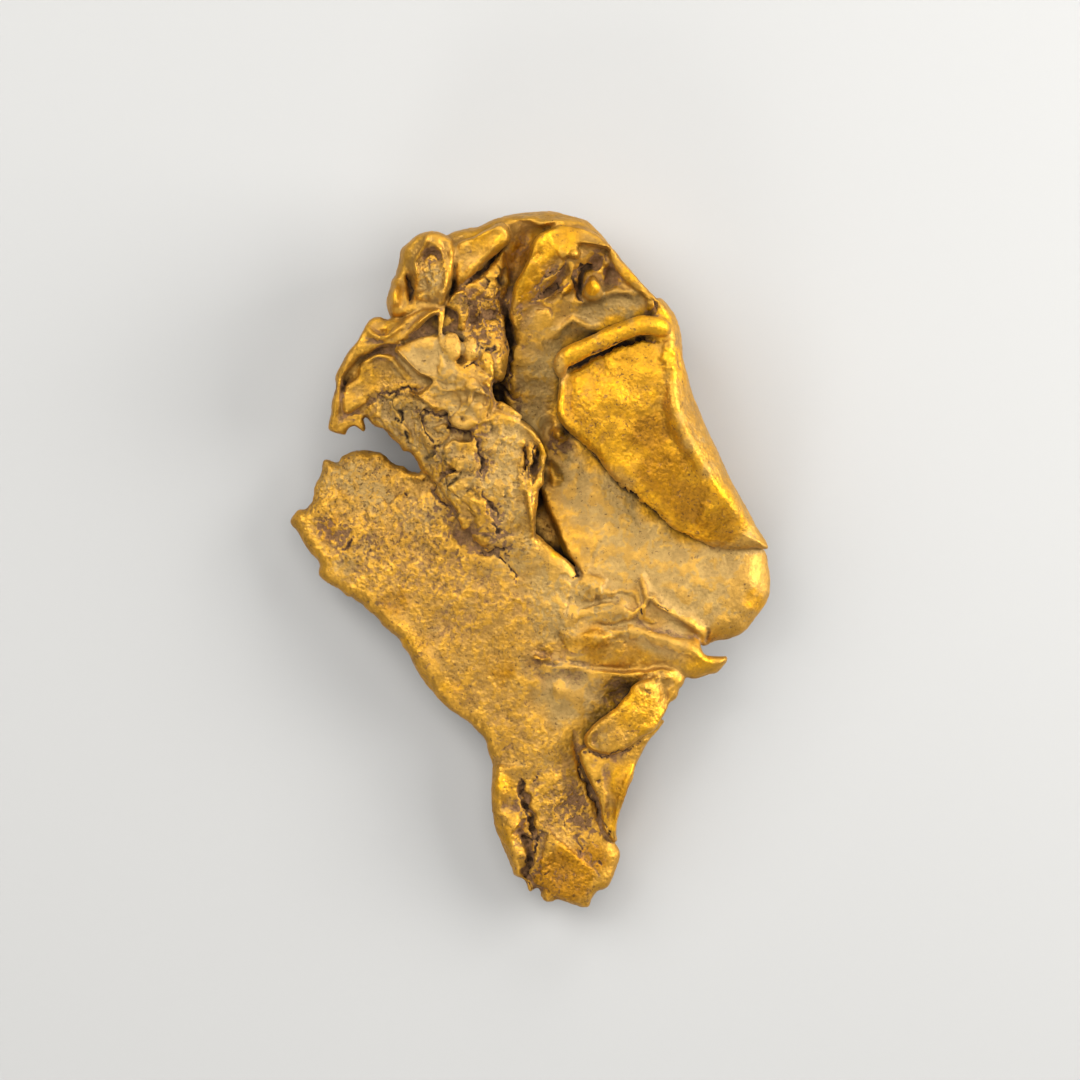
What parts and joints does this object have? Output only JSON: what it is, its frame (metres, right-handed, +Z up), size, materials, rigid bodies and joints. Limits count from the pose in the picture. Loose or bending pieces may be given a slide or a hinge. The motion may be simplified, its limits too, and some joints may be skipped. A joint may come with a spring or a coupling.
{
  "type": "gold nugget",
  "caption": "Leaf-like native gold nugget: folded, crumpled sheets with rolled edges, a torn left lobe and a narrow stem, lying front up.",
  "frame": {"origin": "centre of the footprint, at the surface it rests on", "axes": "+Z up out of the front face, +Y towards the broad top, away from the narrow stem, +X towards the smooth right plate"},
  "size_m": [0.0192, 0.0278, 0.0058],
  "materials": {
    "native_gold": "satin worn native gold, purple-brown iron stain in the creases"
  },
  "bodies": {
    "root": {"gold_nugget": "native_gold"}
  },
  "joints": []
}
